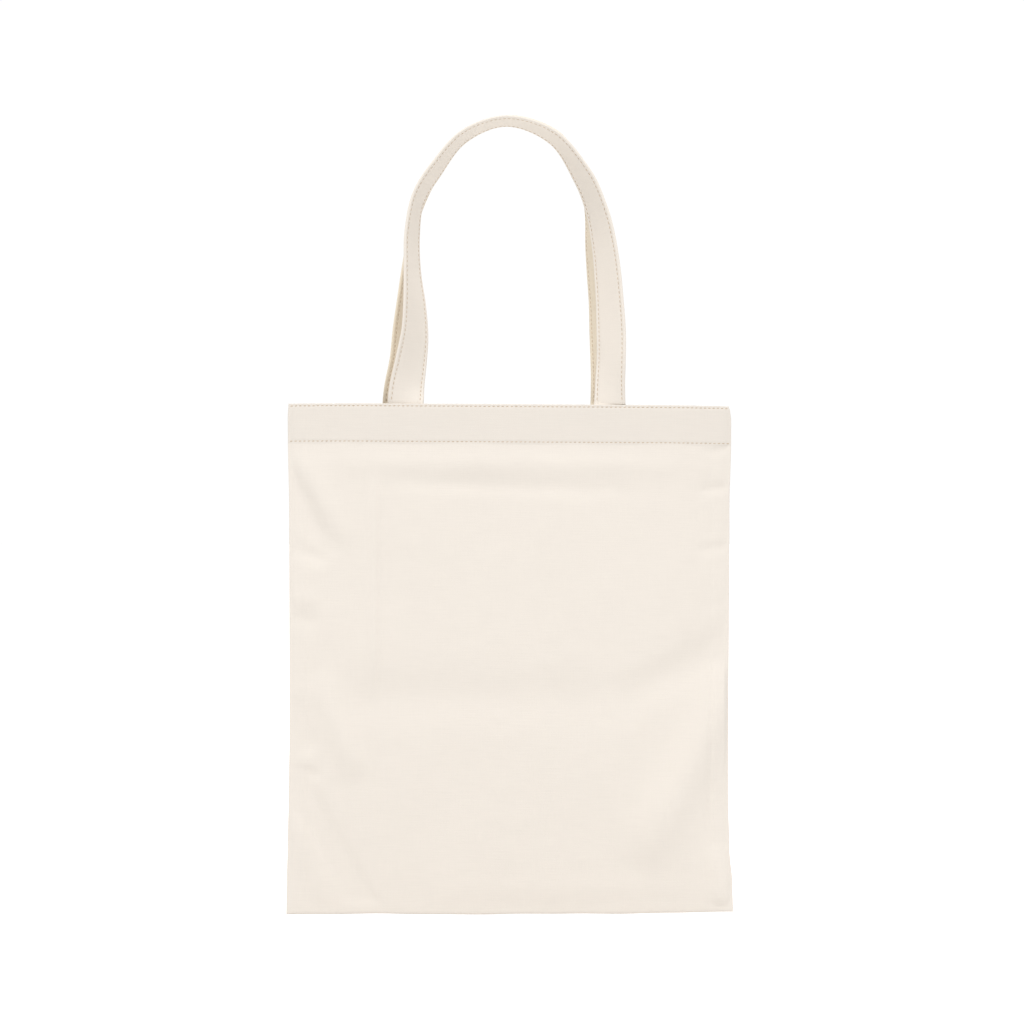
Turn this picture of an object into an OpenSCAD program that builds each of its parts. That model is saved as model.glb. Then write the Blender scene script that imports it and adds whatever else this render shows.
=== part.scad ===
// Canvas tote bag: two side panels joined by a bottom fold and two side seams,
// a turned-in hem round the mouth, and two twisted strap handles sewn inside the hem.
// Front of the bag faces -Y, the mouth opens towards +Z, and the origin is at the
// bottom centre.

/* [Bag] */
// Width of the bag between its side seams
bag_width = 360; // [300:1:420]
// Height of the bag from the bottom fold to the mouth
bag_height = 415; // [380:1:460]
// Distance from the middle of the bag to the outside of a panel at the mouth
mouth_depth = 12; // [10:0.5:16]
// The same distance at the bottom fold
bottom_depth = 2.4; // [2:0.1:4]
// Half width of the flat middle of a panel, which curves back to the seams beyond it
flat_half = 110; // [100:1:115]

/* [Cloth] */
// Thickness of one layer of canvas
canvas = 0.6; // [0.5:0.1:0.8]
// Depth of the turned-in hem
hem_depth = 32; // [28:1:38]
// Width of the side seam allowance inside the bag
seam_allowance = 11; // [8:1:14]

/* [Handles] */
// Width of a finished strap
strap_width = 29; // [25:1:30]
// Length of strap sewn against the inside of the hem
tail_length = 31; // [26:1:31]
// Distance of the stitch rows from the edges of a strap
strap_inset = 3; // [2:0.5:5]

/* [Thread] */
// Width of a stitch row
thread_width = 0.5; // [0.4:0.1:0.6]
// Height of a stitch row above the cloth
thread_height = 0.4; // [0.3:0.1:0.5]

/* [Hidden] */
bag_half = bag_width / 2;
edge_depth = 1.7;
layers_in_strap = 4;
strap_thick = layers_in_strap * canvas;
hem_thick = 2 * canvas;
hem_inside = canvas + hem_thick;
gap = 0.3;
panel_foot = bottom_depth + gap;
hem_line = bag_height - hem_depth;
curve_steps = 6;

// Stitch rows on the hem, measured down from the mouth
top_row = 2;
lower_row = 30.5;

// Side seam
seam_thick = 2 * canvas;
seam_inset = 0.5;
seam_row_inset = 1.5;
seam_thread = 0.3;
overlock_width = 4.4;
overlock_thick = 0.25;
overlock_stop = hem_line - 3;

// Where the straps leave the hem
strap_y = mouth_depth - hem_inside - strap_thick / 2;
front_bases = [-84, 81.5];
rear_bases = [-90, 82.3];

// Route of each handle above the hem: x, y, z and the turn of the strap from flat.
// The outer edges of both straps turn forwards, so the straps nest in each other.
front_route = [
    [-84, -strap_y, 416.2, 0],
    [-82.8, -9.6, 430, 18],
    [-79.4, -11.2, 450, 34],
    [-76.3, -13, 472, 46],
    [-76.3, -14.2, 495, 57],
    [-78.2, -15.2, 525, 68],
    [-78.5, -16, 552, 74],
    [-74, -16, 580, 79],
    [-60.4, -16, 604, 81],
    [-36, -16, 631, 86],
    [-1, -16, 642, 90],
    [36, -16, 629, 83],
    [59, -16, 598, 69],
    [69.5, -15.6, 572, 60],
    [75.5, -14.8, 547, 54],
    [79.5, -13.8, 515, 47],
    [81.8, -12.8, 475, 42],
    [82, -11.6, 450, 40],
    [81.5, -10, 432, 28],
    [81.5, -strap_y, 416.2, 10]
];
rear_route = [
    [-90, strap_y, 416.2, 0],
    [-88.6, 9.6, 430, 14],
    [-85.4, 11.2, 452, 30],
    [-84.8, 13.4, 478, 46],
    [-83.2, 15, 508, 60],
    [-81.2, 16, 540, 74],
    [-78, 16, 572, 82],
    [-66.5, 16, 606.5, 85],
    [-40, 16, 639.5, 88],
    [-1, 16, 651, 90],
    [38.5, 16, 638, 88],
    [59.5, 16, 607, 85],
    [66, 16, 578, 80],
    [69.8, 15.4, 548, 66],
    [74.6, 14.4, 505, 54],
    [78.6, 13, 472, 42],
    [80.2, 11.4, 450, 32],
    [81.6, 9.8, 432, 18],
    [82.3, strap_y, 416.2, 0]
];
rings_per_span = 3;

// ---- Shape of the bag's skin ----

function mix(a, b, t) = a + (b - a) * t;
function unit(v) = v / norm(v);

// How much of the middle's depth is left at x: all of it on the flat, none at the seam
function fullness(x) =
    let (s = max(0, abs(x) - flat_half) / (bag_half - flat_half))
    1 - s * s;

// Distance from the middle plane to the outside of a panel, which leans out as far
// as the hem line and stands upright above it
function depth(x, z) =
    mix(edge_depth, mix(bottom_depth, mouth_depth, min(1, z / hem_line)), fullness(x));

// ---- Lofts ----

// Two triangles of a four-sided face, split along its a-c or its b-d diagonal
function split(a, b, c, d, along_bd = false) =
    along_bd ? [[a, b, d], [b, c, d]] : [[a, b, c], [a, c, d]];

// Faces through rings of points. A ring goes up one face of the cloth and down the
// other, so an end is closed by the faces between its two halves.
function loft_faces(size, count) =
    let (half = size / 2, last = size * (count - 1))
    concat(
        [for (k = [0:half - 2]) each split(size - 1 - k, size - 2 - k, k + 1, k)],
        [for (i = [0:count - 2], j = [0:size - 1])
            let (p = size * i, q = p + size, k = (j + 1) % size)
            each split(p + j, p + k, q + k, q + j, j >= half)],
        [for (k = [0:half - 2])
            each split(last + k, last + k + 1, last + size - 2 - k, last + size - 1 - k)]
    );

module loft(rings) {
    polyhedron(
        points = [for (r = rings) each r],
        faces = loft_faces(len(rings[0]), len(rings))
    );
}

// A strip of cloth that follows the front panel. Each station is x, and how far
// the strip's outer and inner faces lie inside the panel's outer face.
function strip_ring(s, heights) = [
    for (z = heights) [s[0], s[1] - depth(s[0], z), z],
    for (k = [len(heights) - 1:-1:0])
        [s[0], s[2] - depth(s[0], heights[k]), heights[k]]
];

module strip(stations, heights) {
    loft([for (s = stations) strip_ring(s, heights)]);
}

// The same two insets from one side to the other, ending this many steps round the curve
function even_stations(steps, outer, inner) = [
    for (k = [steps:-1:0]) [-mix(flat_half, bag_half, k / curve_steps), outer, inner],
    for (k = [0:steps]) [mix(flat_half, bag_half, k / curve_steps), outer, inner]
];

module to_rear() {
    mirror([0, 1, 0]) children();
}

module to_left() {
    mirror([1, 0, 0]) children();
}

// ---- Panels, hems and their stitching ----

module panel() {
    strip(even_stations(curve_steps, 0, canvas), [panel_foot, hem_line, bag_height]);
}

// The panel's own cloth, turned in twice and lying on the panel's inner face
module hem() {
    strip(even_stations(curve_steps - 1, canvas, hem_inside), [hem_line, bag_height]);
}

// A stitch row shows on the outside of the panel, and inside on the hem and the straps
module hem_row(drop, bases) {
    low = bag_height - drop - thread_width / 2;
    heights = [low, low + thread_width];
    on_strap = hem_inside + strap_thick;
    half_w = strap_width / 2;
    strip(even_stations(curve_steps, -thread_height, 0), heights);
    for (x = bases)
        strip(between(x - half_w, x + half_w, on_strap), heights);
    strip(between(bases[0] + half_w, bases[1] - half_w, hem_inside), heights);
}

// A stretch of thread across the flat of a panel, on a face that lies this deep
function between(from, to, inset) =
    [[from, inset, inset + thread_height], [to, inset, inset + thread_height]];

// The ends of a strap lie flat on the inside of the hem
module handle_tails(bases) {
    half_w = strap_width / 2;
    for (x = bases)
        strip([
            [x - half_w, hem_inside, hem_inside + strap_thick],
            [x + half_w, hem_inside, hem_inside + strap_thick]
        ], [bag_height - tail_length, bag_height - gap]);
}

// ---- Bottom fold and side seams ----

module bottom_fold() {
    color("#f1e8dc")
        translate([0, 0, bottom_depth])
            rotate([90, 0, 90])
                linear_extrude(height = bag_width - 4, center = true)
                    difference() {
                        circle(r = bottom_depth, $fn = 48);
                        circle(r = bottom_depth - canvas, $fn = 48);
                        translate([-bottom_depth - 1, 0])
                            square([2 * bottom_depth + 2, bottom_depth + 1]);
                    }
}

// Two layers of canvas laid together and turned into the bag
module side_seam() {
    translate([bag_half - seam_inset - seam_allowance, -seam_thick / 2, panel_foot])
        cube([seam_allowance, seam_thick, bag_height - panel_foot - 2]);
}

// The lockstitch row shows on both faces of the allowance
module seam_stitching() {
    for (y = [-seam_thick / 2 - seam_thread, seam_thick / 2])
        translate([bag_half - seam_inset - seam_row_inset - thread_width, y, panel_foot + 2])
            cube([thread_width, seam_thread, bag_height - panel_foot - 6]);
}

// Thread wrapped round the raw edge of the allowance
module seam_overlock() {
    raw_edge = bag_half - seam_inset - seam_allowance;
    wrap = seam_thick + 2 * overlock_thick;
    difference() {
        translate([raw_edge - overlock_thick, -wrap / 2, panel_foot + 1])
            cube([overlock_width, wrap, overlock_stop - panel_foot]);
        translate([raw_edge, -seam_thick / 2, panel_foot])
            cube([overlock_width, seam_thick, overlock_stop]);
    }
}

// ---- Handles ----

function route_at(route, i) = route[max(0, min(len(route) - 1, i))];

// Catmull-Rom curve through the rows of a route, and its direction
function curve(p, t) =
    0.5 * (2 * p[1] + (p[2] - p[0]) * t
        + (2 * p[0] - 5 * p[1] + 4 * p[2] - p[3]) * t * t
        + (3 * p[1] - p[0] - 3 * p[2] + p[3]) * t * t * t);
function slope(p, t) =
    0.5 * ((p[2] - p[0])
        + 2 * (2 * p[0] - 5 * p[1] + 4 * p[2] - p[3]) * t
        + 3 * (3 * p[1] - p[0] - 3 * p[2] + p[3]) * t * t);
function rows_near(route, i) = [for (k = [-1:2]) route_at(route, i + k)];
function place(v) = [v[0], v[1], v[2]];

// Middle of the strap, the direction of its width and that of its thickness,
// at one point of the route. A turned strap has its outer edge towards the front.
function strap_frame(route, step) =
    let (
        last = (len(route) - 1) * rings_per_span,
        i = min(floor(step / rings_per_span), len(route) - 2),
        t = step / rings_per_span - i,
        near = rows_near(route, i),
        here = curve(near, t),
        ahead = step == 0 || step == last ? [0, 0, step == 0 ? 1 : -1]
            : unit(place(slope(near, t))),
        outward = unit(cross(ahead, [0, 1, 0])),
        width = cos(here[3]) * outward + sin(here[3]) * [0, -1, 0],
        thick = unit(cross(width, ahead))
    )
    [place(here), unit(cross(ahead, thick)), thick];

// Points on the strap's section at one step: these places across it, at two heights
function bar_ring(f, across, h0, h1) = [
    for (w = across) f[0] + w * f[1] + h0 * f[2],
    for (k = [len(across) - 1:-1:0]) f[0] + across[k] * f[1] + h1 * f[2]
];

module along(route, across, h0, h1, first = 0) {
    last = (len(route) - 1) * rings_per_span;
    loft([for (step = [first:last - first])
        bar_ring(strap_frame(route, step), across, h0, h1)]);
}

// Both edges of the stitch row whose middle is at w
function row_edges(w) = [w - thread_width / 2, w + thread_width / 2];

// The strap's faces are divided at its stitch rows, so that the rows lie flush on them
module handle(route) {
    half_w = strap_width / 2;
    half_t = strap_thick / 2;
    row = half_w - strap_inset;
    across = [-half_w, each row_edges(-row), each row_edges(row), half_w];
    along(route, across, -half_t, half_t);
}

// A row along each edge, on both faces of the strap
module handle_stitching(route) {
    row = strap_width / 2 - strap_inset;
    half_t = strap_thick / 2;
    for (w = [-row, row], near = [-half_t - thread_height, half_t])
        along(route, row_edges(w), near, near + thread_height, 1);
}

// ---- Named parts ----

cloth_colour = "#f1e8dc";
strap_colour = "#ece2d4";
thread_colour = "#d8c8ad";

module left_side_seam() { color(cloth_colour) to_left() side_seam(); }
module left_seam_stitching() { color(thread_colour) to_left() seam_stitching(); }
module left_seam_overlock() { color(thread_colour) to_left() seam_overlock(); }
module right_side_seam() { color(cloth_colour) side_seam(); }
module right_seam_stitching() { color(thread_colour) seam_stitching(); }
module right_seam_overlock() { color(thread_colour) seam_overlock(); }

module front_panel() { color(cloth_colour) panel(); }
module front_hem() { color(cloth_colour) hem(); }
module front_hem_top_stitching() { color(thread_colour) hem_row(top_row, front_bases); }
module front_hem_lower_stitching() { color(thread_colour) hem_row(lower_row, front_bases); }
module front_handle_tails() { color(strap_colour) handle_tails(front_bases); }

module rear_panel() { color(cloth_colour) to_rear() panel(); }
module rear_hem() { color(cloth_colour) to_rear() hem(); }
module rear_hem_top_stitching() { color(thread_colour) to_rear() hem_row(top_row, rear_bases); }
module rear_hem_lower_stitching() { color(thread_colour) to_rear() hem_row(lower_row, rear_bases); }
module rear_handle_tails() { color(strap_colour) to_rear() handle_tails(rear_bases); }

module front_handle() { color(strap_colour) handle(front_route); }
module front_handle_stitching() { color(thread_colour) handle_stitching(front_route); }
module rear_handle() { color(strap_colour) handle(rear_route); }
module rear_handle_stitching() { color(thread_colour) handle_stitching(rear_route); }

bottom_fold();
left_side_seam();
left_seam_stitching();
left_seam_overlock();
right_side_seam();
right_seam_stitching();
right_seam_overlock();
front_panel();
front_hem();
front_hem_top_stitching();
front_hem_lower_stitching();
front_handle_tails();
rear_panel();
rear_hem();
rear_hem_top_stitching();
rear_hem_lower_stitching();
rear_handle_tails();
front_handle();
front_handle_stitching();
rear_handle();
rear_handle_stitching();
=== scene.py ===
"""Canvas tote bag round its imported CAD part: cloth, straps, stitches, materials and studio.

Lengths are in millimetres, and become metres where a mesh is made.
"""
import math

import bpy
import numpy as np
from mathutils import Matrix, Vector


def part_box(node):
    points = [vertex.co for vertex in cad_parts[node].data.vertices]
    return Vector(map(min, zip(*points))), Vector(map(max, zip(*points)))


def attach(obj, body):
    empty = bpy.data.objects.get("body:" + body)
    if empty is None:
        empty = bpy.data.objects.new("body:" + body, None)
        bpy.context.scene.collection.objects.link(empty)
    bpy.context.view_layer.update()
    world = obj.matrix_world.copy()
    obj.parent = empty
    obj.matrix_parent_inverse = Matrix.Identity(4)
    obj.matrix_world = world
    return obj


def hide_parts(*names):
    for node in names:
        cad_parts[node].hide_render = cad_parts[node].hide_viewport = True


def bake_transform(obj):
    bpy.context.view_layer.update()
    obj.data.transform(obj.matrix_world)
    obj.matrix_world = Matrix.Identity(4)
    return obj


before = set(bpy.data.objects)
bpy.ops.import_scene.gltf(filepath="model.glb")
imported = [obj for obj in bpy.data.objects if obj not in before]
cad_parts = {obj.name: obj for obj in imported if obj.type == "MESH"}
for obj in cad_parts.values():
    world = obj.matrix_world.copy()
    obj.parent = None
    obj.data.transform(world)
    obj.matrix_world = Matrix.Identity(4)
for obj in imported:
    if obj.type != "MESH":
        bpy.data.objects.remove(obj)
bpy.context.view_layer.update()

MM = 0.001
FRONT, REAR = -1, 1
LEFT, RIGHT = -1, 1


def node_box(node):
    """Lowest and highest corners of a CAD node."""
    low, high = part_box(node)
    return np.array(low) / MM, np.array(high) / MM


# ---- Driving dimensions ----

panel_low, panel_high = node_box("front_panel")
BAG_HALF = panel_high[0]
BAG_HEIGHT = panel_high[2]
MOUTH_DEPTH = -panel_low[1]
FOOT = panel_low[2]
BOTTOM_DEPTH = node_box("bottom_fold")[1][1]
FOLD_TOP = FOOT + 2.4
HEM_LINE = node_box("front_hem")[0][2]
FLAT_HALF = 110
EDGE_DEPTH = 1.7
CANVAS = 0.6
PANEL_GAP = 0.02
HEM_GAP = 0.03
HEM_INSIDE = 3 * CANVAS
STRAP_THICK = 4 * CANVAS
STRAP_HALF = 14.5

# Rounding of the cloth at the side seams and over the mouth
EDGE_ROUND = 1.2
EDGE_START = BAG_HALF - EDGE_ROUND
ROLL = HEM_INSIDE / 2
ROLL_START = BAG_HEIGHT - 6
ROLL_BASE = BAG_HEIGHT - ROLL
EDGE_TURNS = np.radians([14, 32, 50, 70, 90, 110, 130, 150])
ROLL_TURNS = np.radians([22, 45, 67, 90, 112, 135, 158, 180])

# Stitches, and how many columns of points the cloth has for each of them
STITCHES_PER_HALF = 49
HEM_STITCHES_PER_HALF = 46
COLUMNS_PER_STITCH = 3
PITCH = EDGE_START / STITCHES_PER_HALF
TOP_STITCHES = BAG_HEIGHT - 2
LOWER_STITCHES = BAG_HEIGHT - 30.5
STRAP_STITCHES = STRAP_HALF - 3
THREAD_RADIUS = 0.3

# Steps between rows of points up the cloth: on a panel, near the hem line, on the hem, and where
# the cloth rolls over the mouth
PANEL_STEP = 2.4
HEM_LINE_STEP = 0.6
HEM_STEP = 2
ROLL_STEP = 0.55

# Side seam allowances inside the bag
seam_low, seam_high = node_box("right_side_seam")
RAW_EDGE = seam_low[0]
SEAM_EDGE = seam_high[0]
SEAM_TOP = seam_high[2]
SEAM_STITCHES = SEAM_EDGE - 1.75
OVERLOCK_TOP = node_box("right_seam_overlock")[1][2]
OVERLOCK_WIDTH = 4
OVERLOCK_PITCH = 2.4
OVERLOCK_RADIUS = 0.17

# Strap ends on the inside of the hem
TAIL_FOOT = node_box("front_handle_tails")[0][2]
TAIL_TOP = node_box("front_handle_tails")[1][2]
TAIL_DEPTH = MOUTH_DEPTH - HEM_INSIDE - STRAP_THICK / 2

# Routes of the straps above the hem: x, y, z and the turn of the strap from flat
ROUTES = {
    FRONT: (
        (-84, -TAIL_DEPTH, 416.2, 0),
        (-82.8, -9.6, 430, 18),
        (-79.4, -11.2, 450, 34),
        (-76.3, -13, 472, 46),
        (-76.3, -14.2, 495, 57),
        (-78.2, -15.2, 525, 68),
        (-78.2, -16, 552, 72),
        (-73.2, -16, 580, 76),
        (-58.6, -16, 604, 77.5),
        (-35.2, -16, 630.9, 85),
        (-1, -16, 642, 90),
        (35, -16, 629, 81.5),
        (58.6, -16, 598, 66),
        (69.5, -15.6, 572, 60),
        (75.5, -14.8, 547, 54),
        (79.5, -13.8, 515, 47),
        (81.8, -12.8, 475, 42),
        (82, -11.6, 450, 40),
        (81.3, -10, 432, 29),
        (81, -TAIL_DEPTH, 416.2, 12),
    ),
    REAR: (
        (-90, TAIL_DEPTH, 416.2, 0),
        (-88.6, 9.6, 430, 14),
        (-85.4, 11.2, 452, 30),
        (-84.8, 13.4, 478, 46),
        (-83.2, 15, 508, 60),
        (-81.2, 16, 540, 74),
        (-78, 16, 572, 82),
        (-62.8, 16, 605.5, 84),
        (-37.5, 16, 637, 88),
        (-1, 16, 651, 90),
        (38.5, 16, 638, 88),
        (59.5, 16, 607, 85),
        (66, 16, 578, 80),
        (69.8, 15.4, 548, 66),
        (74.6, 14.4, 505, 54),
        (78, 13, 472, 39),
        (79.6, 11.4, 450, 29),
        (80.1, 9.8, 432, 23),
        (80.2, TAIL_DEPTH, 416.2, 14),
    ),
}

# Where the strap ends go into the mouth, left and right, and how much of its width the right end
# of each strap loses there
BASES = {side: (rows[0][0], rows[-1][0]) for side, rows in ROUTES.items()}
DRAWN_IN = {FRONT: 0.11, REAR: 0.03}

# It starts to narrow this far before its end, and is at its narrowest this much further on
NARROWS_FROM = 45
NARROWS_OVER = 40

# Soft folds on the panels: start (x, z), end (x, z), height, and half width
FOLDS = {
    FRONT: (
        ((-176, 367), (178, 366), 1.5, 9),
        ((-118, 352), (116, 345), -1.3, 7),
        ((-196, 380), (-142, 288), -3.8, 12),
        ((-176, 380), (-132, 296), 2.8, 12),
        ((-196, 309), (-144, 284), -2.0, 6.5),
        ((-196, 262), (-150, 254), 0.8, 7),
        ((-196, 245), (-152, 236), -1.3, 7),
        ((-182, 178), (-162, 128), -2.4, 9),
        ((-156, 202), (-122, 106), 4.2, 13),
        ((-196, 118), (-150, 114), -2.0, 4.5),
        ((-184, 128), (-104, -16), -4.8, 9),
        ((-178, 90), (-146, 0), 1.8, 10),
        ((-109, 376), (-110, 162), 2.0, 4.5),
        ((-182, 178), (136, 176), -2.6, 20),
        ((80, 170), (200, 234), -3.4, 14),
        ((192, 212), (102, 34), 7.5, 19),
        ((198, 384), (154, 376), -0.9, 3.5),
        ((200, 351), (150, 346), -1.6, 4),
        ((200, 304), (148, 297), -1.1, 4.5),
        ((200, 258), (150, 250), -0.5, 6),
        ((164, 215), (163, 50), -0.8, 2.5),
        ((168, 60), (172, -8), 2.4, 9),
        ((-95, 22), (160, 21), 0.6, 9),
    ),
    REAR: (
        ((-160, 368), (165, 368), 2.0, 9),
        ((-120, 352), (90, 347), -1.8, 7),
        ((190, 370), (148, 320), -3.5, 6),
        ((190, 300), (152, 284), -2.4, 4.5),
        ((190, 236), (160, 230), -2.2, 4.5),
        ((190, 122), (158, 112), -2.2, 5),
        ((172, 110), (120, 10), -2.4, 7),
        ((-190, 352), (-158, 346), -2.6, 4.5),
        ((-190, 290), (-152, 282), -2.4, 5),
        ((-190, 216), (-156, 205), -2.2, 5),
        ((-165, 190), (-90, 60), 2.9, 13),
        ((-60, 300), (-40, 60), 1.8, 16),
        ((-150, 150), (150, 168), -2.0, 16),
        ((-120, 22), (110, 22), 1.8, 8),
    ),
}

# How far the side edges stand out from straight: z and shift, from the bottom up
OUTLINE = {
    LEFT: ((0, 1.9), (30, 1.4), (60, 0.7), (95, 0), (150, -0.8), (330, -0.5), (388, 0.5),
           (404, 0.6), (415, 0)),
    RIGHT: ((0, 2.1), (24, 1.5), (55, -0.9), (95, -1.9), (330, -1), (388, 0.4), (404, 0.4),
            (411, -0.3), (415, -1.6)),
}

# How far the mouth's right corner hangs and its left one stands, and how far the right side of the
# bottom edge is lifted
MOUTH_SLANT = 1.1
CORNER_LIFT = 1.4


# ---- Small maths ----

def unit(vectors):
    """The same directions at length 1."""
    return vectors / np.maximum(np.linalg.norm(vectors, axis=-1, keepdims=True), 1e-9)


def smooth(t):
    """0 below 0, 1 above 1, and a soft step between."""
    t = np.clip(t, 0, 1)
    return t * t * (3 - 2 * t)


def through(knots, at):
    """A soft curve through a few (place, value) knots."""
    places, values = np.array(knots, float).T
    index = np.clip(np.searchsorted(places, at) - 1, 0, len(places) - 2)
    t = (at - places[index]) / (places[index + 1] - places[index])
    return values[index] + (values[index + 1] - values[index]) * smooth(t)


def spaced(start, stop, step):
    """Even places from start up to, but not at, stop."""
    count = max(1, round(abs(stop - start) / step))
    return np.linspace(start, stop, count, endpoint=False)


def swell(x, z, seed, size, count=12):
    """Soft unevenness between about -1 and 1: waves of about this size in many directions."""
    rng = np.random.default_rng(seed)
    total = 0
    for _ in range(count):
        angle = rng.uniform(0, math.tau)
        wavelength = size * rng.uniform(0.7, 1.6)
        along = x * math.cos(angle) + z * math.sin(angle)
        total = total + np.sin(math.tau * along / wavelength + rng.uniform(0, math.tau))
    return total / count * 2


# ---- The shape of the bag's cloth ----

def depth(x, z):
    """Distance from the middle plane to a panel's outer face, as in the CAD part."""
    beyond = np.maximum(0, np.abs(x) - FLAT_HALF) / (BAG_HALF - FLAT_HALF)
    middle = BOTTOM_DEPTH + (MOUTH_DEPTH - BOTTOM_DEPTH) * np.minimum(1, z / HEM_LINE)
    return EDGE_DEPTH + (middle - EDGE_DEPTH) * (1 - beyond ** 2)


def fold(x, z, start, end, height, width):
    """A soft ridge, or a crease where height is below 0, that fades out at both ends."""
    (x0, z0), (x1, z1) = start, end
    length = math.hypot(x1 - x0, z1 - z0)
    along = ((x - x0) * (x1 - x0) + (z - z0) * (z1 - z0)) / length ** 2
    across = ((x - x0) * (z1 - z0) - (z - z0) * (x1 - x0)) / length
    inside = np.clip(1 - (2 * along - 1) ** 4, 0, 1) ** 2
    return height * inside * np.exp(-(across / width) ** 2)


def stitch_pull(x, z):
    """How far the two rows of hem stitches draw the cloth in, most at their holes."""
    holes = 0.5 + 0.5 * np.cos(math.tau * x / PITCH)
    total = 0
    for row in (TOP_STITCHES, LOWER_STITCHES):
        total = total + np.exp(-((z - row) / 0.9) ** 2) * (0.2 + 0.15 * holes)
    return total


def relief(side, x, z):
    """How far a panel's outer face stands out from its CAD shape."""
    total = 0.5 * swell(x, z, 11 + side, 90) + 0.12 * swell(x, z, 31 + side, 24)
    for line in FOLDS[side]:
        total = total + fold(x, z, *line)
    on_hem = smooth((z - HEM_LINE + 1.2) / 2.6)
    total = total * (1 - 0.75 * on_hem) + 0.3 * on_hem
    room = np.maximum(0.15, depth(x, z) - 1.5)
    total = np.where(total < 0, -room * np.tanh(-total / room), total)
    total = total + 0.3 * smooth((np.abs(x) - RAW_EDGE + 4) / 3)
    to_edge = smooth((EDGE_START - np.abs(x)) / 3.5)
    to_foot = smooth((z - FOLD_TOP) / 9)
    return (total - stitch_pull(x, z)) * to_edge * to_foot


def settle(points):
    """Lets the outline wander as soft cloth does: side edges, slanting mouth and bottom corners."""
    x, y, z = np.moveaxis(points, -1, 0)
    near_side = np.clip(np.abs(x) / BAG_HALF, 0, 1) ** 8
    out = np.where(x < 0, through(OUTLINE[LEFT], z), through(OUTLINE[RIGHT], z))
    new_x = x + np.sign(x) * near_side * out
    high = z / BAG_HEIGHT
    wave = 0.42 + 0.3 * np.sin(x / 23) + 0.12 * np.sin(x / 9 + 1)
    low_lift = CORNER_LIFT * smooth((x - 40) / 130) + wave
    new_z = z - MOUTH_SLANT * high * x / BAG_HALF + low_lift * np.clip(1 - z / 60, 0, 1) ** 2
    return np.stack([new_x, y, new_z], axis=-1)


def wall_points(side, half, x, z, turn=0.0, roll=0.0, inset=0.0):
    """Points on a panel. turn goes round its side edge and roll over the mouth, in radians;
    inset is how far inside the outer face they lie. The arguments are arrays that broadcast."""
    x, z, turn, roll, inset = np.broadcast_arrays(x, z, turn, roll, inset)
    skin = depth(x, z) + relief(side, half * x, z)
    out = skin * (1 + np.cos(turn)) / 2
    plan_x = x + EDGE_ROUND * np.sin(turn)
    slope = (depth(x + 0.5, z) - depth(x - 0.5, z)) * (turn == 0)
    lean = 1 / np.sqrt(1 + slope ** 2)
    plan_x = plan_x + inset * slope * lean
    out = out - inset * lean
    radius = np.minimum(ROLL, 0.42 * out)
    near_mouth = smooth((z - ROLL_START) / (ROLL_BASE - ROLL_START))
    rolled = roll > 0
    out = out - radius * (1 - np.cos(roll))
    height = np.where(
        rolled,
        BAG_HEIGHT - radius + radius * np.sin(roll),
        np.where(inset > 0, z, z + (ROLL - radius) * near_mouth),
    )
    return settle(np.stack([half * plan_x, side * out, height], axis=-1))


def wall_normals(side, half, x, z):
    """Directions square to a panel's outer face, pointing out of the bag."""
    reach = 0.8
    across = wall_points(side, half, x + reach, z) - wall_points(side, half, x - reach, z)
    up = wall_points(side, half, x, z + reach) - wall_points(side, half, x, z - reach)
    return unit(np.cross(across, up)) * (-side * half)


# ---- Building meshes ----

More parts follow.
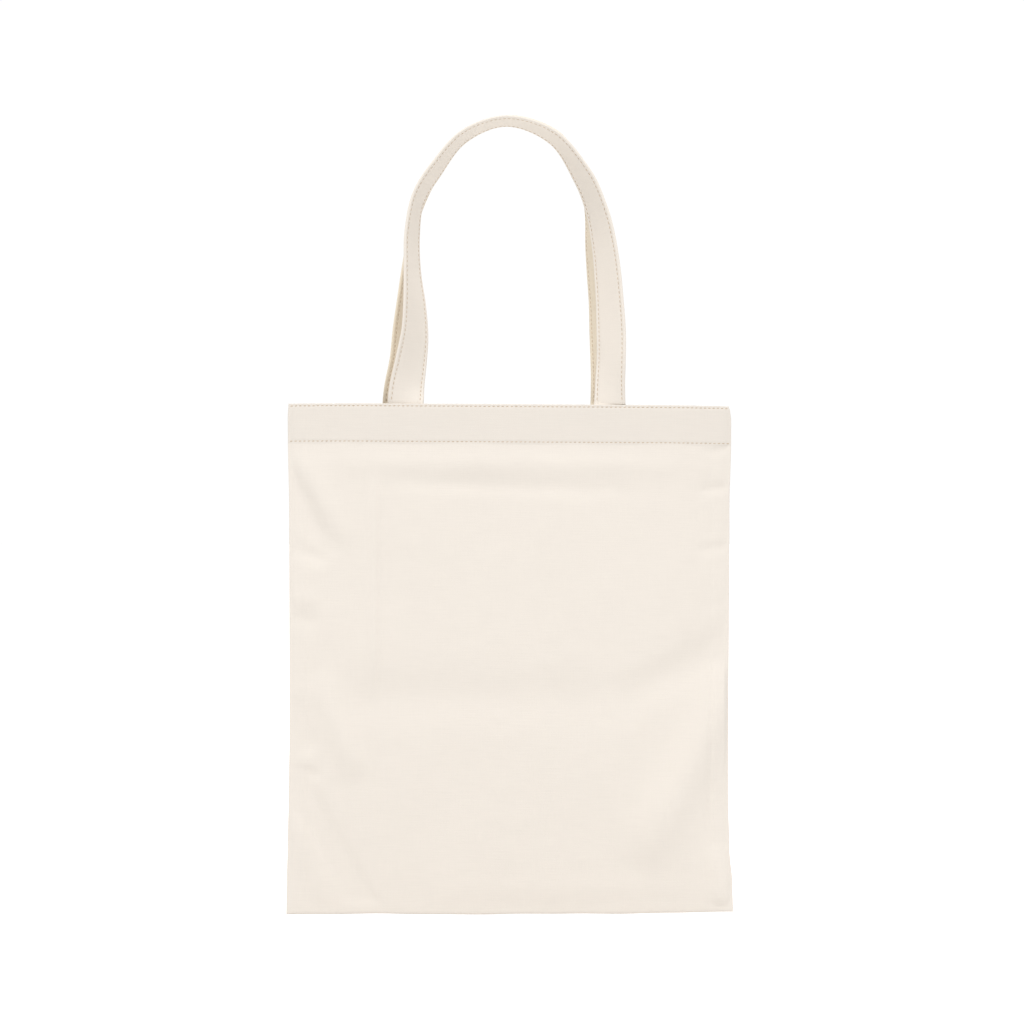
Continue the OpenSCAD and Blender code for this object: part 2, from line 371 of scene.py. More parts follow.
class Piece:
    """Gathers the parts of one mesh, and then makes its object."""

    def __init__(self):
        self.points = []
        self.faces = []
        self.uvs = []
        self.sharp = []
        self.count = 0

    def add(self, points, faces, uvs, sharp=()):
        """Points, faces of point numbers, one uv for each face corner, and sharp edges."""
        self.points.append(points.reshape(-1, 3))
        for group in faces:
            self.faces.extend((group + self.count).tolist())
        self.uvs.append(uvs.reshape(-1, 2))
        for pairs in sharp:
            self.sharp.append(pairs + self.count)
        self.count += len(self.points[-1])

    def sheet(self, outer, thickness, uv, flip):
        """A closed sheet of cloth: a grid of points, and its other face this far behind."""
        rows, columns = outer.shape[:2]
        across = np.gradient(outer, axis=1)
        up = np.gradient(outer, axis=0)
        facing = unit(np.cross(across, up)) * (-1 if flip else 1)
        inner = outer - facing * np.broadcast_to(thickness, (rows, columns))[..., None]
        number = np.arange(rows * columns).reshape(rows, columns)
        quads = np.stack(
            [number[:-1, :-1], number[:-1, 1:], number[1:, 1:], number[1:, :-1]], axis=-1
        ).reshape(-1, 4)
        rim = np.concatenate([number[0, :-1], number[:-1, -1], number[-1, :0:-1], number[:0:-1, 0]])
        following = np.roll(rim, -1)
        behind = rows * columns
        walls = np.stack([following, rim, rim + behind, following + behind], axis=-1)
        faces = [quads, quads[:, ::-1] + behind, walls]
        if flip:
            faces = [group[:, ::-1] for group in faces]
        flat_uv = np.concatenate([uv.reshape(-1, 2)] * 2)
        uvs = np.concatenate([flat_uv[group].reshape(-1, 2) for group in faces])
        edge = np.stack([rim, following], axis=-1)
        self.add(np.stack([outer, inner]), faces, uvs, [edge, edge + behind])

    def tube(self, rings, around, along):
        """A closed tube through rings of points, with its two ends capped. around holds one
        more uv place than a ring has points, and along one for each ring."""
        count, size = rings.shape[:2]
        number = np.arange(count * size).reshape(count, size)
        beside = np.roll(number, -1, axis=1)
        quads = np.stack([number[:-1], beside[:-1], beside[1:], number[1:]], axis=-1).reshape(-1, 4)
        u0, v0 = np.meshgrid(around[:-1], along[:-1])
        u1, v1 = np.meshgrid(around[1:], along[1:])
        corners = [np.stack(pair, axis=-1) for pair in ((u0, v0), (u1, v0), (u1, v1), (u0, v1))]
        side_uvs = np.stack(corners, axis=2).reshape(-1, 2)
        caps = [number[:1, ::-1], number[-1:]]
        cap_uvs = np.zeros((2 * size, 2))
        rims = [np.stack([number[k], beside[k]], axis=-1) for k in (0, -1)]
        self.add(rings, [quads, *caps], np.concatenate([side_uvs, cap_uvs]), rims)

    def stitches(self, holes, facing, seed, radius=THREAD_RADIUS):
        """A run of stitches, each from one hole to the next, lying on the side that faces out."""
        rng = np.random.default_rng(seed)
        start, end, facing = holes[:-1], holes[1:], unit(facing[:-1] + facing[1:])
        ahead = unit(end - start)
        beside = np.cross(ahead, facing)
        slant = rng.normal(0.05, 0.03, (len(start), 1)) * PITCH
        start = start + beside * slant
        end = end - beside * slant
        at = np.linspace(0.17, 0.83, 7)
        arch = np.sin(math.pi * np.linspace(0.02, 0.98, 7))
        rise = 1.5 * radius * arch ** 0.5 - 0.9 * radius
        middle = (
            start[:, None] + (end - start)[:, None] * at[:, None]
            + facing[:, None] * rise[:, None]
        )
        angle = np.linspace(0, math.tau, 6, endpoint=False)
        thick = radius * (0.62 + 0.38 * arch ** 0.5) * rng.normal(1, 0.05, (len(start), 1))
        ring = (
            beside[:, None, None] * np.cos(angle)[:, None]
            + facing[:, None, None] * (0.8 * np.sin(angle))[:, None]
        )
        rings = middle[:, :, None] + thick[:, :, None, None] * ring
        around = np.linspace(0, math.tau * radius, 7)
        along = at * PITCH
        for stitch in rings:
            self.tube(stitch, around, along)

    def finish(self, name, material, slot):
        """Makes the object, with a uv map in metres of cloth, and gives it its material; the slot name
        is not used.
        """
        mesh = bpy.data.meshes.new(name)
        mesh.from_pydata((np.concatenate(self.points) * MM).tolist(), [], self.faces)
        layer = mesh.uv_layers.new(name="cloth")
        layer.data.foreach_set("uv", (np.concatenate(self.uvs) * MM).ravel())
        mesh.shade_smooth()
        if self.sharp:
            ends = np.empty(2 * len(mesh.edges), dtype=np.int64)
            mesh.edges.foreach_get("vertices", ends)
            keys = np.sort(ends.reshape(-1, 2), axis=1) @ [self.count, 1]
            wanted = np.sort(np.concatenate(self.sharp), axis=1) @ [self.count, 1]
            attribute = mesh.attributes.new("sharp_edge", "BOOLEAN", "EDGE")
            attribute.data.foreach_set("value", np.isin(keys, wanted))
        mesh.materials.append(material)
        piece = bpy.data.objects.new(name, mesh)
        bpy.context.scene.collection.objects.link(piece)
        return piece


# ---- Materials ----

def feed(tree, socket, value):
    """Links a socket to another's value, or sets it to a plain one."""
    if isinstance(value, bpy.types.NodeSocket):
        tree.links.new(value, socket)
    else:
        socket.default_value = value


def maths(tree, operation, *values):
    """The result of a sum on sockets and plain numbers."""
    node = tree.nodes.new("ShaderNodeMath")
    node.operation = operation
    for socket, value in zip(node.inputs, values):
        feed(tree, socket, value)
    return node.outputs[0]


def span(tree, value, low, high, to_low, to_high):
    """Maps low..high softly to to_low..to_high."""
    node = tree.nodes.new("ShaderNodeMapRange")
    node.interpolation_type = "SMOOTHSTEP"
    for socket, item in zip(node.inputs, (value, low, high, to_low, to_high)):
        feed(tree, socket, item)
    return node.outputs[0]


def noise(tree, u, v, u_scale, v_scale, detail=2.0):
    """Noise over the cloth, at so many features per metre along u and v."""
    place = tree.nodes.new("ShaderNodeCombineXYZ")
    feed(tree, place.inputs[0], maths(tree, "MULTIPLY", u, u_scale))
    feed(tree, place.inputs[1], maths(tree, "MULTIPLY", v, v_scale))
    node = tree.nodes.new("ShaderNodeTexNoise")
    node.inputs["Scale"].default_value = 1.0
    node.inputs["Detail"].default_value = detail
    feed(tree, node.inputs["Vector"], place.outputs[0])
    return node.outputs["Fac"]


def cloth_uv(tree):
    """The place on the flat cut cloth: across it, and up it."""
    uv = tree.nodes.new("ShaderNodeUVMap")
    uv.uv_map = "cloth"
    parts = tree.nodes.new("ShaderNodeSeparateXYZ")
    feed(tree, parts.inputs[0], uv.outputs[0])
    return parts.outputs[0], parts.outputs[1]


def weave(tree, u, v, yarn):
    """Height of a plain weave of yarns this wide, from 0 to 1."""
    warp = maths(tree, "SINE", maths(tree, "MULTIPLY", u, math.pi / yarn))
    weft = maths(tree, "SINE", maths(tree, "MULTIPLY", v, math.pi / yarn))
    over = maths(tree, "MULTIPLY_ADD", maths(tree, "MULTIPLY", warp, weft), 0.5, 0.5)
    under = maths(tree, "SUBTRACT", 1.0, over)
    warp_top = maths(tree, "MULTIPLY", maths(tree, "ABSOLUTE", warp), over)
    weft_top = maths(tree, "MULTIPLY", maths(tree, "ABSOLUTE", weft), under)
    return maths(tree, "MAXIMUM", warp_top, weft_top)


def bump(tree, height, distance, below=None):
    """A bumped normal; below is the normal of a coarser bump under it."""
    node = tree.nodes.new("ShaderNodeBump")
    node.inputs["Strength"].default_value = 1.0
    node.inputs["Distance"].default_value = distance
    feed(tree, node.inputs["Height"], height)
    if below is not None:
        feed(tree, node.inputs["Normal"], below)
    return node.outputs["Normal"]


def shaded(tree, colour, factor):
    """The colour, darker or lighter by a factor."""
    node = tree.nodes.new("ShaderNodeVectorMath")
    node.operation = "SCALE"
    node.inputs[0].default_value = colour
    feed(tree, node.inputs["Scale"], factor)
    return node.outputs[0]


def fabric(name, sheen):
    """A new matte cotton material: its tree and its shader node."""
    material = bpy.data.materials.new(name)
    material.use_nodes = True
    shader = material.node_tree.nodes["Principled BSDF"]
    shader.inputs["Roughness"].default_value = 0.92
    shader.inputs["Specular IOR Level"].default_value = 0.18
    shader.inputs["Sheen Weight"].default_value = sheen
    shader.inputs["Sheen Roughness"].default_value = 0.55
    return material, material.node_tree, shader


def canvas_material(name, colour, yarn_height, layered_from=None):
    """Unbleached plain-weave cotton, whose yarns stand up by yarn_height. layered_from is the height
    on the panel above which more layers lie behind the cloth, where less light comes through it; there
    the colour is painted darker, as painted shade."""
    yarn = 0.58 * MM
    material, tree, shader = fabric(name, 0.12)
    u, v = cloth_uv(tree)
    wobble = maths(tree, "MULTIPLY_ADD", noise(tree, u, v, 90, 90), 1.2 * yarn, 0)
    woven = weave(tree, maths(tree, "ADD", u, wobble), maths(tree, "ADD", v, wobble), yarn)
    weft_slubs = noise(tree, u, v, 45, 1500)
    warp_slubs = noise(tree, u, v, 1500, 38)
    cloud = noise(tree, u, v, 16, 16, 3.0)
    tone = maths(tree, "MULTIPLY_ADD", woven, 0.06, 0.90)
    tone = maths(tree, "MULTIPLY_ADD", weft_slubs, 0.06, tone)
    tone = maths(tree, "MULTIPLY_ADD", warp_slubs, 0.03, tone)
    tone = maths(tree, "MULTIPLY_ADD", cloud, 0.03, tone)
    if layered_from is not None:
        # Painted shade: the hem band's colour is darkened, standing in for the light that its extra
        # layers keep from coming through.
        on_hem = span(tree, v, (layered_from - 1.2) * MM, (layered_from + 0.4) * MM, 0.0, 0.055)
        tone = maths(tree, "SUBTRACT", tone, on_hem)
    feed(tree, shader.inputs["Base Color"], shaded(tree, colour, tone))
    rough = bump(tree, cloud, 0.0006)
    slubbed = bump(tree, weft_slubs, yarn_height, rough)
    feed(tree, shader.inputs["Normal"], bump(tree, woven, yarn_height, slubbed))
    return material


def thread_material(name, colour, fuzz):
    """Spun thread of twisted plies."""
    material, tree, shader = fabric(name, 0.2)
    u, v = cloth_uv(tree)
    twist = maths(tree, "ADD", maths(tree, "MULTIPLY", u, 3800.0), maths(tree, "MULTIPLY", v, 7000.0))
    plies = maths(tree, "MULTIPLY_ADD", maths(tree, "SINE", twist), 0.5, 0.5)
    fibres = noise(tree, u, v, 6000, 2500)
    tone = maths(tree, "MULTIPLY_ADD", plies, 0.16, 0.86)
    tone = maths(tree, "MULTIPLY_ADD", fibres, fuzz, tone)
    feed(tree, shader.inputs["Base Color"], shaded(tree, colour, tone))
    feed(tree, shader.inputs["Normal"], bump(tree, plies, 0.00006))
    return material


CANVAS_CLOTH = canvas_material(
    "natural_canvas", (0.800, 0.741, 0.672), yarn_height=0.065 * MM, layered_from=HEM_LINE
)
STRAP_CLOTH = {
    FRONT: canvas_material("front_strap_canvas", (0.790, 0.728, 0.655), yarn_height=0.02 * MM),
    # Painted shade: the rear strap's cloth is coloured warmer and darker than the front one, standing
    # in for the shade and warm bounced light between the two straps.
    REAR: canvas_material("rear_strap_canvas_painted_shade", (0.775, 0.685, 0.55), yarn_height=0.02 * MM),
}
# Painted shade: the sewing thread is coloured a darker tan than the cloth, standing in for the shadows
# in its needle holes.
SHADE_DARKENED_THREAD = thread_material("sewing_thread_painted_shade", (0.58, 0.46, 0.33), fuzz=0.1)
OVERLOCK_THREAD = thread_material("overlock_thread", (0.80, 0.74, 0.65), fuzz=0.25)


# ---- The two walls: panels, hems and their stitches ----

def name_of(side):
    """The word for a side in the names of bodies and nodes."""
    return "front" if side == FRONT else "rear"


def bend_at_side(piece):
    """Bakes the piece's placing into its points."""
    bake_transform(piece)


def cut_across(side, half, x, turn):
    """Where a column of points lies on the flat cut cloth, from left to right."""
    rear_shift = 700 if side == REAR else 0
    return half * (x + EDGE_ROUND * turn) + rear_shift


def panel_columns():
    """Columns of points from the middle of the bag to its side seam, and round its edge."""
    flat = np.linspace(0, EDGE_START, COLUMNS_PER_STITCH * STITCHES_PER_HALF + 1)
    x = np.concatenate([flat, np.full(len(EDGE_TURNS), EDGE_START)])
    turn = np.concatenate([0 * flat, EDGE_TURNS])
    return x, turn


def panel_half(side, half):
    """Half of a panel, from the middle of the bag to its side seam and up over the mouth."""
    x, turn = panel_columns()
    z = np.concatenate([
        spaced(FOLD_TOP, HEM_LINE - 4, PANEL_STEP),
        spaced(HEM_LINE - 4, HEM_LINE + 5, HEM_LINE_STEP),
        spaced(HEM_LINE + 5, ROLL_START, HEM_STEP),
        spaced(ROLL_START, ROLL_BASE, ROLL_STEP),
        np.full(1 + len(ROLL_TURNS), ROLL_BASE),
    ])
    roll = np.concatenate([np.zeros(len(z) - len(ROLL_TURNS)), ROLL_TURNS])
    outer = wall_points(side, half, x, z[:, None], turn, roll[:, None])
    uv = np.stack(np.broadcast_arrays(cut_across(side, half, x, turn), (z + ROLL * roll)[:, None]), -1)
    room = np.minimum(1, np.abs(outer[..., 1]) / 2)
    piece = Piece()
    piece.sheet(outer, (CANVAS - PANEL_GAP) * np.maximum(0.25, room), uv, side * half > 0)
    return piece


def hem_half(side, half):
    """Half of a hem: the cloth turned in over the mouth, down to the hem line, and back up
    between the layers."""
    fold_turns = np.radians(np.arange(20, 180, 20))
    down = np.concatenate([
        spaced(ROLL_BASE, ROLL_START, ROLL_STEP),
        spaced(ROLL_START, HEM_LINE + 5, HEM_STEP),
        spaced(HEM_LINE + 5, HEM_LINE + CANVAS, HEM_LINE_STEP),
    ])
    up = np.arange(HEM_LINE + CANVAS, BAG_HEIGHT - 2, 4)
    z = np.concatenate([down, HEM_LINE + CANVAS * (1 - np.sin(fold_turns)), up])
    inset = np.concatenate([
        np.full(len(down), HEM_INSIDE),
        CANVAS * (2 + np.cos(fold_turns)),
        np.full(len(up), CANVAS + PANEL_GAP),
    ])
    x = np.linspace(0, RAW_EDGE - 1.5, COLUMNS_PER_STITCH * HEM_STITCHES_PER_HALF + 1)
    pull = 2 * stitch_pull(x, z[:, None]) * (inset[:, None] > HEM_INSIDE - 0.01)
    outer = wall_points(side, half, x, z[:, None], inset=inset[:, None] - pull)
    length = np.concatenate([[0], np.cumsum(np.hypot(np.diff(z), np.diff(inset)))])
    cut_up = ROLL_BASE + math.pi * ROLL + length
    uv = np.stack(np.broadcast_arrays(cut_across(side, half, x, 0), cut_up[:, None]), -1)
    piece = Piece()
    piece.sheet(outer, CANVAS - HEM_GAP, uv, side * half > 0)
    return piece


def hem_stitches_half(side, half, row):
    """Half of a hem's stitch row, on the outside and, over hem and straps, on the inside."""
    x = np.arange(STITCHES_PER_HALF + 1) * PITCH
    z = np.full(len(x), row)
    facing = wall_normals(side, half, x, z)
    seed = round(row) + 7 * side + 3 * half
    piece = Piece()
    piece.stitches(wall_points(side, half, x, z), facing, seed)
    inner_x = x[x < RAW_EDGE - 2]
    shift = half * BASES[side][0 if half == LEFT else 1]
    strap_half = STRAP_HALF * (1 - (DRAWN_IN[side] if half == RIGHT else 0))
    on_strap = np.abs(inner_x - shift) < strap_half - 0.5
    inset = HEM_INSIDE - 2 * stitch_pull(inner_x, z[0]) + on_strap * (STRAP_THICK - 0.2)
    inner = wall_points(side, half, inner_x, z[0], inset=inset)
    for run in np.split(np.arange(len(inner_x)), np.flatnonzero(np.diff(on_strap)) + 1):
        if len(run) > 1:
            piece.stitches(inner[run], -facing[run], seed + 1)
    return piece


def make_wall(side):
    """One side of the bag: its panel, its hem and the hem's two stitch rows, each in two halves."""
    where = name_of(side)
    for half, hand in ((LEFT, "left"), (RIGHT, "right")):
        panel = panel_half(side, half).finish(f"{where}_panel_{hand}", CANVAS_CLOTH, "canvas")
        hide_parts(f"{where}_panel")
        hem = hem_half(side, half).finish(f"{where}_hem_{hand}", CANVAS_CLOTH, "canvas")
        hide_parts(f"{where}_hem")
        pieces = [panel, hem]
        for label, row in (("top", TOP_STITCHES), ("lower", LOWER_STITCHES)):
            stitches = hem_stitches_half(side, half, row)
            node = f"{where}_hem_{label}_stitching"
            pieces.append(stitches.finish(f"{node}_{hand}", SHADE_DARKENED_THREAD, "cotton_thread"))
            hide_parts(node)
        for piece in pieces:
            bend_at_side(piece)


# ---- Straps ----

def strap_section():
    """Points round the strap's section: places across it, and heights from its middle."""
    across = np.array([0, 2.5, 5, 7.3, 9, 10.2, 10.9, 11.5, 12.1, 12.8, 13.4, 13.9, 14.25, 14.45])
    pinch = 0.24 * np.exp(-((across - STRAP_STITCHES) / 0.85) ** 2)
    round_off = np.sqrt(1 - np.clip((across - STRAP_HALF + 1.25) / 1.25, 0, 1) ** 2)
    half_thick = STRAP_THICK / 2 * (1 - pinch) * round_off
    face = np.concatenate([-across[:0:-1], across])
    high = np.concatenate([half_thick[:0:-1], half_thick])
    folded_edge = np.array([[STRAP_HALF, 0]])
    open_edge = np.array([[-STRAP_HALF, -0.3], [0.9 - STRAP_HALF, 0], [-STRAP_HALF, 0.3]])
    upper = np.stack([face, high], axis=-1)
    lower = np.stack([face, -high], axis=-1)[::-1]
    return np.concatenate([upper, folded_edge, lower, open_edge])


def strap_frames(rows, step):
    """Even steps along a Catmull-Rom curve through the route's rows: the strap's middle, and the
    directions of its width and thickness. A turned strap has its outer edge to the front."""
    rows = np.array(rows, float)
    padded = np.concatenate([rows[:1], rows, rows[-1:]])
    t = np.linspace(0, 1, 60, endpoint=False)[:, None]
    spans = []
    for p0, p1, p2, p3 in zip(padded, padded[1:], padded[2:], padded[3:]):
        spans.append(0.5 * (2 * p1 + (p2 - p0) * t + (2 * p0 - 5 * p1 + 4 * p2 - p3) * t ** 2
                            + (3 * p1 - p0 - 3 * p2 + p3) * t ** 3))
    dense = np.concatenate([*spans, rows[-1:]])
    run = np.concatenate([[0], np.cumsum(np.linalg.norm(np.diff(dense[:, :3], axis=0), axis=1))])
    at = np.linspace(0, run[-1], round(run[-1] / step) + 1)
    middle = np.stack([np.interp(at, run, dense[:, k]) for k in range(3)], axis=-1)
    turn = np.radians(np.interp(at, run, dense[:, 3]))[:, None]
    from_end = np.minimum(at, at[-1] - at)
    upright = np.zeros_like(middle)
    upright[:, 2] = np.where(at < run[-1] / 2, 1, -1)
    bent = smooth(from_end / 14)[:, None]
    ahead = unit(upright * (1 - bent) + unit(np.gradient(middle, axis=0)) * bent)
    outward = unit(np.cross(ahead, [0, 1, 0]))
    width = np.cos(turn) * outward + np.sin(turn) * np.array([0, -1, 0])
    thick = unit(np.cross(width, ahead))
    return at, middle, unit(np.cross(ahead, thick)), thick


def strap_rows(side):
    """The whole route of a strap above its ends."""
    rows = ROUTES[side]
    first, last = ((row[0], row[1], TAIL_TOP - 0.4, 0) for row in (rows[0], rows[-1]))
    return [first, *rows, last]


def strap_lift(side, across, at, length):
    """How far a strap's cloth swells from flat. It lies flat at its two ends."""
    ease = smooth(np.minimum(at, length - at) / 30)
    return 0.25 * ease * swell(2 * across, at, 51 + side, 60)


def add_strap(piece, side, at, middle, width, thick):
    """A folded strap, drawn in a little at each stitch hole."""
    section = strap_section()
    holes = 0.5 + 0.5 * np.cos(math.tau * at / PITCH)
    near_row = np.exp(-((np.abs(section[:, 0]) - STRAP_STITCHES) / 0.7) ** 2)
    high = section[:, 1] * (1 - 0.1 * holes[:, None] * near_row)
    high = high + strap_lift(side, section[:, 0], at[:, None], at[-1])
    wide = section[:, 0] * (1 + 0.012 * swell(at, 0 * at, 61 + side, 50))[:, None]
    rings = middle[:, None] + wide[..., None] * width[:, None] + high[..., None] * thick[:, None]
    closed = np.concatenate([section, section[:1]])
    around = np.concatenate([[0], np.cumsum(np.hypot(*np.diff(closed, axis=0).T))])
    piece.tube(rings, around + 50 * side, at)


def make_strap(side):
    """A strap above the mouth and its four rows of stitches, which bend where the strap folds over."""
    where = name_of(side)
    at, middle, width, thick = strap_frames(strap_rows(side), PITCH / COLUMNS_PER_STITCH)
    width = width * (1 - DRAWN_IN[side] * smooth((at - at[-1] + NARROWS_FROM) / NARROWS_OVER))[:, None]
    strap = Piece()
    add_strap(strap, side, at, middle, width, thick)
    strap = strap.finish(f"{where}_strap_cloth", STRAP_CLOTH[side], "strap_canvas")
    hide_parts(f"{where}_handle")
    rows = Piece()
    at_holes = slice(COLUMNS_PER_STITCH, -COLUMNS_PER_STITCH, COLUMNS_PER_STITCH)
    for across in (-STRAP_STITCHES, STRAP_STITCHES):
        for face in (-1, 1):
            high = face * STRAP_THICK / 2 * 0.72 + strap_lift(side, across, at, at[-1])
            holes = middle + across * width + high[:, None] * thick
            rows.stitches(holes[at_holes], face * thick[at_holes], 71 + face + round(across))
    rows = rows.finish(f"{where}_strap_stitching", SHADE_DARKENED_THREAD, "cotton_thread")
    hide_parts(f"{where}_handle_stitching")
    for piece in (strap, rows):
        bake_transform(piece)


def make_tails(side):
    """The two ends of a strap, flat on the inside of the hem. The strap comes down into the right
    one, which therefore lies the other way round."""
    tails = Piece()
    for x in BASES[side]:
        y = side * TAIL_DEPTH
        rows = [(x, y, TAIL_FOOT, 0), (x, y, (TAIL_FOOT + TAIL_TOP) / 2, 0), (x, y, TAIL_TOP, 0)]
        at, middle, width, thick = strap_frames(rows, PITCH / COLUMNS_PER_STITCH)
        if x > 0:
            width, thick = -width * (1 - DRAWN_IN[side]), -thick
        add_strap(tails, side, at, middle, width, thick)
    where = name_of(side)
    tails = tails.finish(f"{where}_strap_ends", STRAP_CLOTH[side], "strap_canvas")
    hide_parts(f"{where}_handle_tails")
    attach(tails, f"{where}_wall")


# ---- Bottom fold and side seams ----

def make_bottom_fold():
    """The cloth goes round under the bag from one panel to the other."""
    x, turn = panel_columns()
    half = np.concatenate([np.full(len(x) - 1, LEFT), np.full(len(x), RIGHT)])
    plan_x = np.concatenate([x[:0:-1], x])
    turns = np.concatenate([turn[:0:-1], turn])
    narrowing = (1 + np.cos(turns)) / 2
    across = half * (plan_x + EDGE_ROUND * np.sin(turns))
    angle = np.radians([-90, -90, *range(-90, 91, 12), 90, 90])[:, None]
    height = FOOT * (1 - np.cos(angle))
    height[[0, 1, -2, -1], 0] = FOLD_TOP, (FOLD_TOP + FOOT) / 2, (FOLD_TOP + FOOT) / 2, FOLD_TOP
    out = depth(plan_x, np.maximum(height, FOOT)) * narrowing
    points = np.stack(np.broadcast_arrays(across, out * np.sin(angle), height), axis=-1)
    length = np.cumsum(np.hypot(np.diff(height[:, 0]), BOTTOM_DEPTH * np.diff(np.sin(angle[:, 0]))))
    cut_up = FOLD_TOP - np.concatenate([[0], length])[:, None]
    uv = np.stack(np.broadcast_arrays(across, cut_up), axis=-1)
    piece = Piece()
    piece.sheet(settle(points), (CANVAS - PANEL_GAP) * np.minimum(1, 0.25 + out / 3), uv, True)
    fold_piece = piece.finish("bottom_fold_cloth", CANVAS_CLOTH, "canvas")
    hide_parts("bottom_fold")
    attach(fold_piece, "bag_base")


def seam_wave(x, z, half):
    """How the free edge of an allowance wanders from the middle plane."""
    loose = smooth((SEAM_EDGE - 2 - np.abs(x)) / 9)
    return 0.22 * loose * swell(0 * x, z, 81 + half, 35)


def make_side_seam(half, hand):
    """Two layers of allowance, their stitch row, and the thread round their raw edge."""
    x = np.linspace(RAW_EDGE, SEAM_EDGE - 0.3, 12)
    z = spaced(FOOT + 0.4, SEAM_TOP, 3)[:, None]
    layers = Piece()
    for side in (FRONT, REAR):
        y = side * CANVAS + seam_wave(x, z, half)
        outer = settle(np.stack(np.broadcast_arrays(half * x, y, z), axis=-1))
        uv = np.stack(np.broadcast_arrays(half * x + 300 * side, z), axis=-1)
        layers.sheet(outer, CANVAS - HEM_GAP, uv, side * half > 0)
    seam = layers.finish(f"{hand}_side_seam_cloth", CANVAS_CLOTH, "canvas")
    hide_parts(f"{hand}_side_seam")

    rows = Piece()
    z = np.arange(FOOT + 2, SEAM_TOP - 2, PITCH)
    for side in (FRONT, REAR):
        holes = settle(np.stack([0 * z + half * SEAM_STITCHES, 0 * z + side * CANVAS, z], axis=-1))
        rows.stitches(holes, np.tile([0, side, 0], (len(z), 1)), 91 + side)
    rows = rows.finish(f"{hand}_seam_stitches", SHADE_DARKENED_THREAD, "cotton_thread")
    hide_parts(f"{hand}_seam_stitching")

    overlock = make_overlock(half).finish(f"{hand}_overlock", OVERLOCK_THREAD, "overlock_thread")
    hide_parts(f"{hand}_seam_overlock")
    for piece in (seam, rows, overlock):
        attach(piece, "bag_base")


def make_overlock(half):
    """Thread wrapped round and round the raw edge, and a straight row where it turns back."""
    wrap = Piece()
    reach = RAW_EDGE + OVERLOCK_WIDTH
    out = CANVAS + 0.12
    loop = [(reach, out, 0), (RAW_EDGE + 0.4, out, 0.4), (RAW_EDGE - 0.15, 0.35, 0.48),
            (RAW_EDGE - 0.15, -0.35, 0.54), (RAW_EDGE + 0.4, -out, 0.6), (reach, -out, 1)]
    x, y, rise = np.array(loop).T
    bottom, top = FOOT + 3, OVERLOCK_TOP - 2
    for k in range(int((top - bottom) / OVERLOCK_PITCH)):
        z = bottom + (k + rise) * OVERLOCK_PITCH
        middle = settle(np.stack([half * x, y + seam_wave(x, z, half), z], axis=-1))
        rings = thread_rings(middle, OVERLOCK_RADIUS)
        wrap.tube(rings, np.linspace(0, 1, 6), np.linspace(0, 12, len(z)))
    for side in (FRONT, REAR):
        z = np.arange(bottom, top, OVERLOCK_PITCH)
        middle = np.stack([0 * z + half * reach, side * out + seam_wave(0 * z + reach, z, half), z], -1)
        wrap.stitches(settle(middle), np.tile([0, side, 0], (len(z), 1)), 95 + side, 0.2)
    return wrap


def thread_rings(middle, radius):
    """Rings of five points round a short path of thread."""
    ahead = unit(np.gradient(middle, axis=0))
    beside = unit(np.cross(ahead, [0.1, 0.2, 1.0]))
    other = np.cross(ahead, beside)
    angle = np.linspace(0, math.tau, 5, endpoint=False)[:, None]
    return middle[:, None] + radius * (np.cos(angle) * beside[:, None] + np.sin(angle) * other[:, None])


# ---- Studio, in metres ----

LENS = 52.3
CAMERA_DISTANCE = 1.2
CAMERA_SIDE = 0.002
CAMERA_HEIGHT = 0.3279
FLOOR_RADII = (1.0, 3.0, 8.0, 14.0)
FLOOR_CORNERS = 64


def aim(obj, place, target):
    """Puts a camera or a light in the scene, looking at a target."""
    obj.location = place
    obj.rotation_mode = "QUATERNION"
    obj.rotation_quaternion = (Vector(target) - Vector(place)).to_track_quat("-Z", "Y")
    bpy.context.scene.collection.objects.link(obj)


def make_camera():
    """A level camera in front of the bag."""
    data = bpy.data.cameras.new("camera")
    data.sensor_width = 36
    data.lens = LENS
    data.clip_start = 0.05
    camera = bpy.data.objects.new("camera", data)
    eye = (CAMERA_SIDE, -MOUTH_DEPTH * MM - CAMERA_DISTANCE, CAMERA_HEIGHT)
    aim(camera, eye, (CAMERA_SIDE, 0, CAMERA_HEIGHT))
    bpy.context.scene.camera = camera


def make_light(name, place, target, size, power):
    """A soft round light."""
    data = bpy.data.lights.new(name, "AREA")
    data.shape = "DISK"
    data.size = size
    data.energy = power
    aim(bpy.data.objects.new(name, data), place, target)


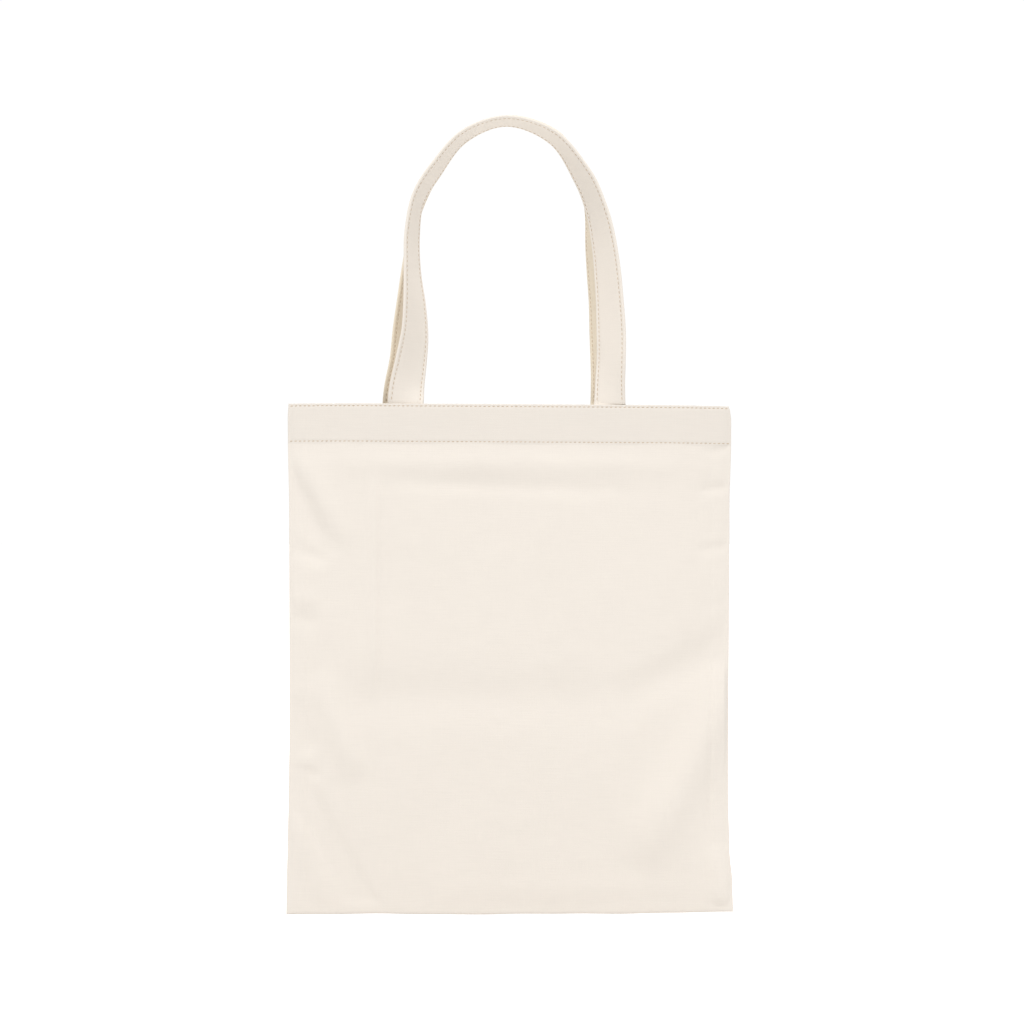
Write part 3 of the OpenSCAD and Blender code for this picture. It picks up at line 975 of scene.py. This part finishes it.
def floor_material():
    """Pale and matte, with a glow that is stronger where the camera sees it, so that the floor
    meets the backdrop without a line."""
    material = bpy.data.materials.new("pale_floor")
    material.use_nodes = True
    tree = material.node_tree
    shader = tree.nodes["Principled BSDF"]
    shader.inputs["Base Color"].default_value = (0.78, 0.78, 0.78, 1)
    shader.inputs["Roughness"].default_value = 1
    shader.inputs["Specular IOR Level"].default_value = 0
    shader.inputs["Emission Color"].default_value = (1, 1, 1, 1)
    seen = tree.nodes.new("ShaderNodeLightPath").outputs["Is Camera Ray"]
    feed(tree, shader.inputs["Emission Strength"], maths(tree, "MULTIPLY_ADD", seen, 0.55, 0.18))
    return material


def make_floor():
    """A wide, flat, round floor."""
    points = [(0, 0, 0)]
    faces = []
    for ring, radius in enumerate(FLOOR_RADII):
        for k in range(FLOOR_CORNERS):
            angle = math.tau * k / FLOOR_CORNERS
            points.append((radius * math.cos(angle), radius * math.sin(angle), 0))
            here = 1 + ring * FLOOR_CORNERS + k
            beside = 1 + ring * FLOOR_CORNERS + (k + 1) % FLOOR_CORNERS
            if ring == 0:
                faces.append((0, here, beside))
            else:
                faces.append((here - FLOOR_CORNERS, here, beside, beside - FLOOR_CORNERS))
    mesh = bpy.data.meshes.new("floor")
    mesh.from_pydata(points, [], faces)
    mesh.materials.append(floor_material())
    floor = bpy.data.objects.new("floor", mesh)
    bpy.context.scene.collection.objects.link(floor)


def make_world():
    """A plain white backdrop, a little brighter where the camera sees it than as a light."""
    world = bpy.data.worlds.new("studio")
    world.use_nodes = True
    tree = world.node_tree
    background = tree.nodes["Background"]
    background.inputs["Color"].default_value = (1, 1, 1, 1)
    seen = tree.nodes.new("ShaderNodeLightPath").outputs["Is Camera Ray"]
    feed(tree, background.inputs["Strength"], maths(tree, "MULTIPLY_ADD", seen, 0.22, 0.8))
    bpy.context.scene.world = world
    bpy.context.scene.view_settings.view_transform = "Standard"


make_camera()
make_world()
make_floor()
make_light("key", (-0.25, -1.6, 3.7), (0, 0, 0.3), size=1.5, power=70)
make_light("back", (0.9, 1.5, 1.9), (0, 0, 0.3), size=1.0, power=12)

make_bottom_fold()
for half, hand in ((LEFT, "left"), (RIGHT, "right")):
    make_side_seam(half, hand)
for side in (FRONT, REAR):
    make_wall(side)
    make_tails(side)
    make_strap(side)
